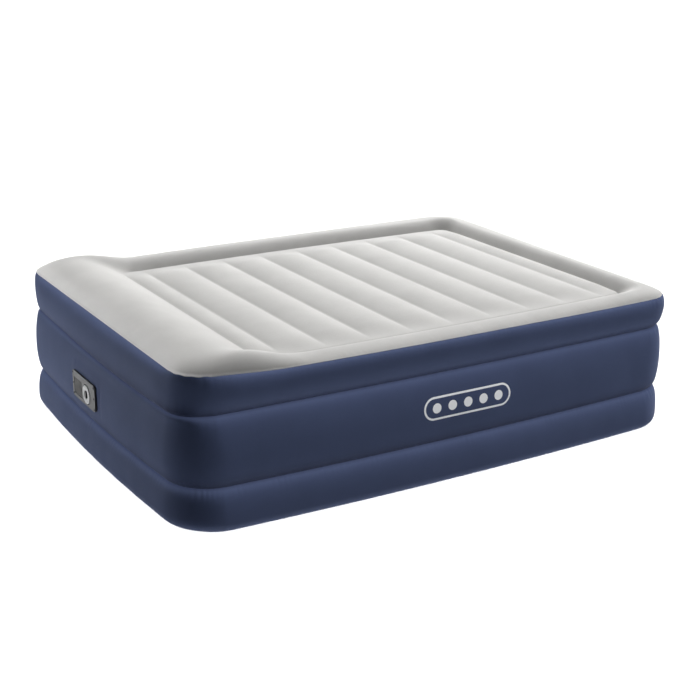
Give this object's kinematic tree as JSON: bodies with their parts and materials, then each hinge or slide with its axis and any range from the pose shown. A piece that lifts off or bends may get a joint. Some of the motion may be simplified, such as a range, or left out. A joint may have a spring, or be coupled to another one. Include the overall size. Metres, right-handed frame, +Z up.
{
  "type": "raised air mattress",
  "caption": "Raised double inflatable bed with a flocked top, built-in pillow, cross channels, three-tier sides and a built-in mains pump with a dial and a cord lid.",
  "frame": {"origin": "on the floor, under the middle of the bed", "axes": "+X from the head to the foot, +Y to the left side of someone lying on their back, +Z up; the pump is in the -X face"},
  "size_m": [2.0268, 1.5218, 0.5597],
  "materials": {
    "flock_grey": "short grey flock",
    "flock_navy": "short navy flock on vinyl",
    "web_vinyl": "plain reinforced vinyl",
    "dark_plastic": "fine texture",
    "mid_plastic": "moulded",
    "light_plastic": "smooth",
    "steel": "plated",
    "seal_rubber": "moulded"
  },
  "bodies": {
    "bladder": {"base_side_band": "flock_navy", "base_web_1": "web_vinyl", "base_web_2": "web_vinyl", "base_web_3": "web_vinyl", "base_web_4": "web_vinyl", "base_web_5": "web_vinyl", "bottom_sheet": "flock_navy", "cord_box": "mid_plastic", "cord_gland": "seal_rubber", "cross_beam_1": "web_vinyl", "cross_beam_2": "web_vinyl", "cross_beam_3": "web_vinyl", "cross_beam_4": "web_vinyl", "cross_beam_5": "web_vinyl", "cross_beam_6": "web_vinyl", "cross_beam_7": "web_vinyl", "cross_beam_8": "web_vinyl", "cross_beam_9": "web_vinyl", "edge_tie_web": "web_vinyl", "fan_scroll": "mid_plastic", "flap_pin": "steel", "lid_pin": "steel", "middle_side_band": "flock_navy", "motor": "steel", "motor_cradle": "mid_plastic", "panel_gasket": "seal_rubber", "panel_screw_1": "steel", "panel_screw_2": "steel", "panel_screw_3": "steel", "panel_screw_4": "steel", "panel_screw_5": "steel", "panel_screw_6": "steel", "pump_bezel": "dark_plastic", "pump_tub": "mid_plastic", "rotary_switch": "mid_plastic", "top_sheet": "flock_grey", "upper_side_band": "flock_navy", "valve_body": "mid_plastic", "waist_sheet": "web_vinyl", "weld_collar": "web_vinyl"},
    "dial": {"selector_dial": "light_plastic", "dial_grip": "dark_plastic", "selector_shaft": "steel", "selector_drum": "light_plastic"},
    "lid": {"cord_lid": "dark_plastic"},
    "fan_wheel": {"impeller": "light_plastic", "motor_shaft": "steel"},
    "flap": {"check_flap": "seal_rubber"}
  },
  "joints": [
    {"name": "dial_turn", "type": "hinge", "parent": "bladder", "child": "dial", "pos_m": [-1.0106, -0.001, 0.2535], "axis": [-1, 0, 0], "range_deg": [-90, 90]},
    {"name": "lid_hinge", "type": "hinge", "parent": "bladder", "child": "lid", "pos_m": [-1.0078, 0.116, 0.2535], "axis": [0, 0, -1], "range_deg": [0, 110]},
    {"name": "fan_spin", "type": "hinge", "parent": "bladder", "child": "fan_wheel", "pos_m": [-0.9421, 0.0805, 0.2595], "axis": [1, 0, 0], "continuous": true},
    {"name": "flap_swing", "type": "hinge", "parent": "bladder", "child": "flap", "pos_m": [-0.8694, -0.001, 0.2757], "axis": [0, -1, 0], "range_deg": [0, 40], "stiffness_Nm_per_rad": 0.004, "springref_deg": -11.46}
  ]
}
